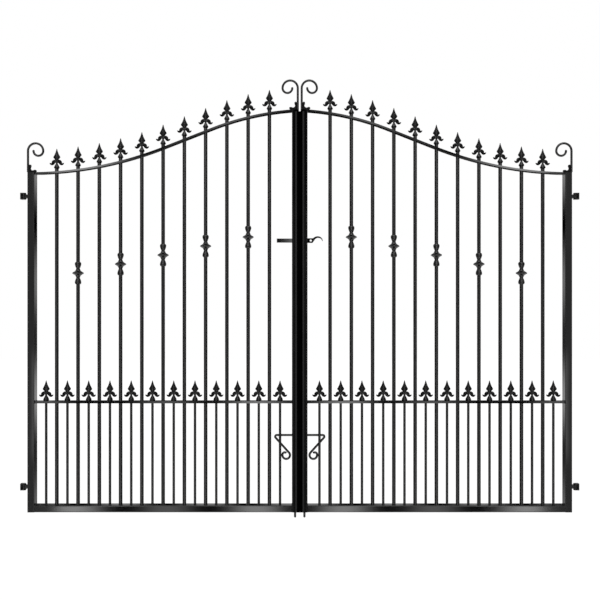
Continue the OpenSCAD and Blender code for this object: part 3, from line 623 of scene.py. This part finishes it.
def build_latch():
    arm_x, half_h, head_r, head_x = -101.0, 9.0, 10.25, 56.0
    half_t, edge, first, step, bent_past = 3.0, 0.5, 3.0, 4.0, 8.0
    inner = flat_arc(81.2, -6.7, 18.2, 12.0, 154.0, 40)
    outer = flat_arc(79.8, -2.7, 21.7, 2.0, 90.0, 26)
    outer += flat_arc(79.8, -12.5, 31.5, 90.0, 133.8, 20)[1:]
    foot = math.degrees(math.asin(half_h / head_r))
    outline = [(arm_x, -half_h)] + flat_arc(PIVOT_X, 0, head_r, 180 + foot, 270, 8)
    outline += [(head_x, -head_r)] + inner[::-1] + outer
    outline += flat_arc(PIVOT_X, 0, head_r, 90, 180 - foot, 8) + [(arm_x, half_h)]
    holes = [flat_arc(x, 0, HOLE_R, 0, 352.5, 47) for x in (PIVOT_X, LOCK_X)]
    points, faces = outline_plate([outline] + holes, half_t, edge)
    bm = bmesh.new()
    verts = [bm.verts.new(p) for p in points]
    for f in faces:
        bm.faces.new([verts[i] for i in f])
    x = arm_x + first
    while x < head_x + bent_past:
        geom = list(bm.verts) + list(bm.edges) + list(bm.faces)
        bmesh.ops.bisect_plane(bm, geom=geom, dist=1e-4, plane_co=(x, 0, 0), plane_no=(1, 0, 0))
        x += step
    bmesh.ops.remove_doubles(bm, verts=bm.verts, dist=0.002)
    bm.verts.index_update()
    points = [(v.co.x, v.co.y + latch_bow(v.co.x), v.co.z) for v in bm.verts]
    faces = [tuple(v.index for v in f.verts) for f in bm.faces]
    bm.free()
    return points, faces


latch = Shape().add(*build_latch(), move=at(0, LATCH_Z, LATCH_Y))
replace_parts(latch.piece("latch_plate", "latch", LATCH, "moving_furniture", False, 35, even=True),
            "latch_bar")

# Camera at the photograph's view

camera = bpy.data.cameras.new("camera")
camera.lens, camera.sensor_width = 45.41, 36.0
view = put("camera", camera)
view.location = (1.2211, -3.311, 0.8164)
view.rotation_euler = (math.radians(90), 0, 0)
bpy.context.scene.camera = view

# Studio: white surroundings, and soft strips of light that only the gloss picks up. Angles are in
# degrees: turn is to either side of straight ahead or straight behind, and rise is above level.

bpy.context.scene.view_settings.view_transform = "Standard"
world = bpy.data.worlds.new("studio")
bpy.context.scene.world = world
world.use_nodes = True
sky = world.node_tree
sky.nodes.clear()


def maths(operation, *values):
    return shader_node(sky, "Math", dict(enumerate(values)), operation=operation).outputs[0]


def mul(first, *others):
    for value in others:
        first = maths("MULTIPLY", first, value)
    return first


def plus(first, *others):
    for value in others:
        first = maths("ADD", first, value)
    return first


def rest(value):
    return maths("SUBTRACT", 1.0, value)


def soft_step(value, low, high):
    return shader_node(sky, "MapRange", {"Value": value, "From Min": low, "From Max": high},
                       interpolation_type="SMOOTHSTEP").outputs["Result"]


def over(value, limit, fade):
    """One over an angle and zero under it, fading over so many degrees round it."""
    return soft_step(value, math.radians(limit - fade / 2), math.radians(limit + fade / 2))


def inside(value, low, high, fade):
    return mul(over(value, low, fade), rest(over(value, high, fade)))


def strips(value, *rows):
    """Sum of strips of light: from and to an angle, fade, strength."""
    return plus(*(mul(inside(value, *span), strength) for *span, strength in rows))


def waves(value, peak, period, sharp):
    """Waves of light a period apart, one of them at the peak."""
    wave = maths("COSINE", mul(maths("SUBTRACT", value, math.radians(peak)), 360.0 / period))
    return maths("POWER", plus(mul(wave, 0.5), 0.5), sharp)


MIDDLE, PAST_SIDE, FAR_DOWN = -9.0, 120.0, -30.0  # out of reach, so that a strip has no end there
direction = shader_node(sky, "TexCoord").outputs["Generated"]
dx, dy, dz = shader_node(sky, "SeparateXYZ", {0: direction}).outputs
turn = maths("ABSOLUTE", maths("ARCTAN2", dx, maths("ABSOLUTE", dy)))
rise = maths("ARCSINE", dz)
front = soft_step(mul(dy, -1.0), -0.1, 0.1)
ripple = waves(turn, 3.3, 6.7, 1.5)

# In front, for the faces that the camera sees square on: upright strips for the latch and the
# lower rails, the outermost only as low as the bottom rails, and others higher up for the top rails
high = over(rise, 7.3, 2.2)
low = rest(over(rise, -11.25, 2.5))
level = plus(strips(turn, (MIDDLE, 6.6, 0.6, 6.2), (6.6, 13.3, 0.6, 2.6)),
             mul(strips(turn, (13.3, 17.9, 0.8, 7.2)), low))
upper = plus(mul(strips(turn, (13.6, 18.4, 4.0, 7.5)), rest(over(turn, 18.35, 1.3))),
             strips(turn, (8.5, 9.9, 1.0, 1.1), (1.1, 8.3, 0.7, 0.9), (3.0, 6.6, 2.4, 2.0)))
stile_edge = mul(inside(turn, 17.4, 19.15, 1.6), inside(rise, -11.0, -4.0, 2.0), 2.2)
wide = strips(turn, (17.9, 24.0, 1.0, 0.65), (24.0, 75.0, 6.0, 0.5), (75.0, PAST_SIDE, 10.0, 0.12))
front_light = mul(front, plus(mul(ripple, level, rest(high)), mul(upper, high), stile_edge, wide))

# Behind, for the faces seen at a glancing angle and for the back: level bands on the hinge stiles'
# inner sides, a grid on top of the bottom rails, the far sides, the leaves' backs and the ground
fewer = plus(strips(rise, (-2.5, 5.3, 2.5, -0.42), (FAR_DOWN, -11.5, 2.0, -0.5)), 1.0)
bands = mul(plus(mul(waves(rise, -6.8, 8.1, 1.3), fewer), strips(rise, (FAR_DOWN, 4.4, 2.0, 0.08))),
            strips(turn, (18.2, 21.5, 0.6, 1.4)))
grid = mul(waves(turn, 0.9, 6.2, 1.3), inside(rise, 11.0, 24.0, 3.0),
           strips(turn, (MIDDLE, 18.2, 0.6, 0.8)))
far_sides = strips(turn, (24.0, PAST_SIDE, 5.0, 0.36))
behind = mul(plus(mul(ripple, 1.9), 0.7), inside(turn, MIDDLE, 17.0, 1.0),
             inside(rise, -9.0, 4.0, 1.6))
ground = mul(rest(over(rise, -17.5, 7.0)), 1.1)
rear_light = mul(rest(front), plus(bands, grid, far_sides, behind, ground))

above = mul(over(rise, 35.5, 19.0), 0.35)
beside = strips(turn, (84.0, 96.0, 4.0, 0.9))
studio = shader_node(sky, "Background", {
    "Color": (0.8, 0.8, 0.8, 1), "Strength": plus(front_light, rear_light, above, beside)})
white = shader_node(sky, "Background", {"Color": (1, 1, 1, 1), "Strength": 1.0})
rays = shader_node(sky, "LightPath").outputs
plain = maths("MAXIMUM", rays["Is Camera Ray"], rays["Is Diffuse Ray"])
pick = shader_node(sky, "MixShader", {"Fac": plain, 1: studio.outputs[0], 2: white.outputs[0]})
shader_node(sky, "OutputWorld", {"Surface": pick.outputs[0]})

lamp = bpy.data.lights.new("top_soft", "AREA")
lamp.shape, lamp.size, lamp.size_y, lamp.energy = "RECTANGLE", 3.0, 1.6, 25
top_soft = put("top_soft", lamp)
top_soft.location = (1.22, -1.2, 4.4)
aim = Vector((1.22, 0, 0.8)) - top_soft.location
top_soft.rotation_euler = aim.to_track_quat("-Z", "Y").to_euler()

# Pale floor a little under the drop bolts, almost white to the camera but for a soft shadow

FLOOR_GAP, FLOOR_CORNERS = 12.0, ((-8, -9), (10.4, -9), (10.4, 9), (-8, 9))
floor_z = (BOLT_LOW - HINGE_LOW - FLOOR_GAP) / 1000
floor_mesh = bpy.data.meshes.new("floor")
floor_mesh.from_pydata([(x, y, floor_z) for x, y in FLOOR_CORNERS], [], [(0, 1, 2, 3)])
floor = put("floor", floor_mesh)
pale = bpy.data.materials.new("pale_floor")
pale.use_nodes = True
tree = pale.node_tree
matt = tree.nodes["Principled BSDF"]
matt.inputs["Base Color"].default_value = (0.8, 0.8, 0.8, 1)
matt.inputs["Roughness"].default_value = 0.9
camera_ray = shader_node(tree, "LightPath").outputs["Is Camera Ray"]
share = shader_node(tree, "Math", {0: camera_ray, 1: 0.93}, operation="MULTIPLY")
glow = shader_node(tree, "Emission", {"Strength": 1.06})
mix = shader_node(tree, "MixShader",
                  {"Fac": share.outputs[0], 1: matt.outputs[0], 2: glow.outputs[0]})
feed(tree, tree.nodes["Material Output"].inputs["Surface"], mix.outputs[0])
floor_mesh.materials.append(pale)
floor.visible_glossy = False
floor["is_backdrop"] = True

low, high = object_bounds()
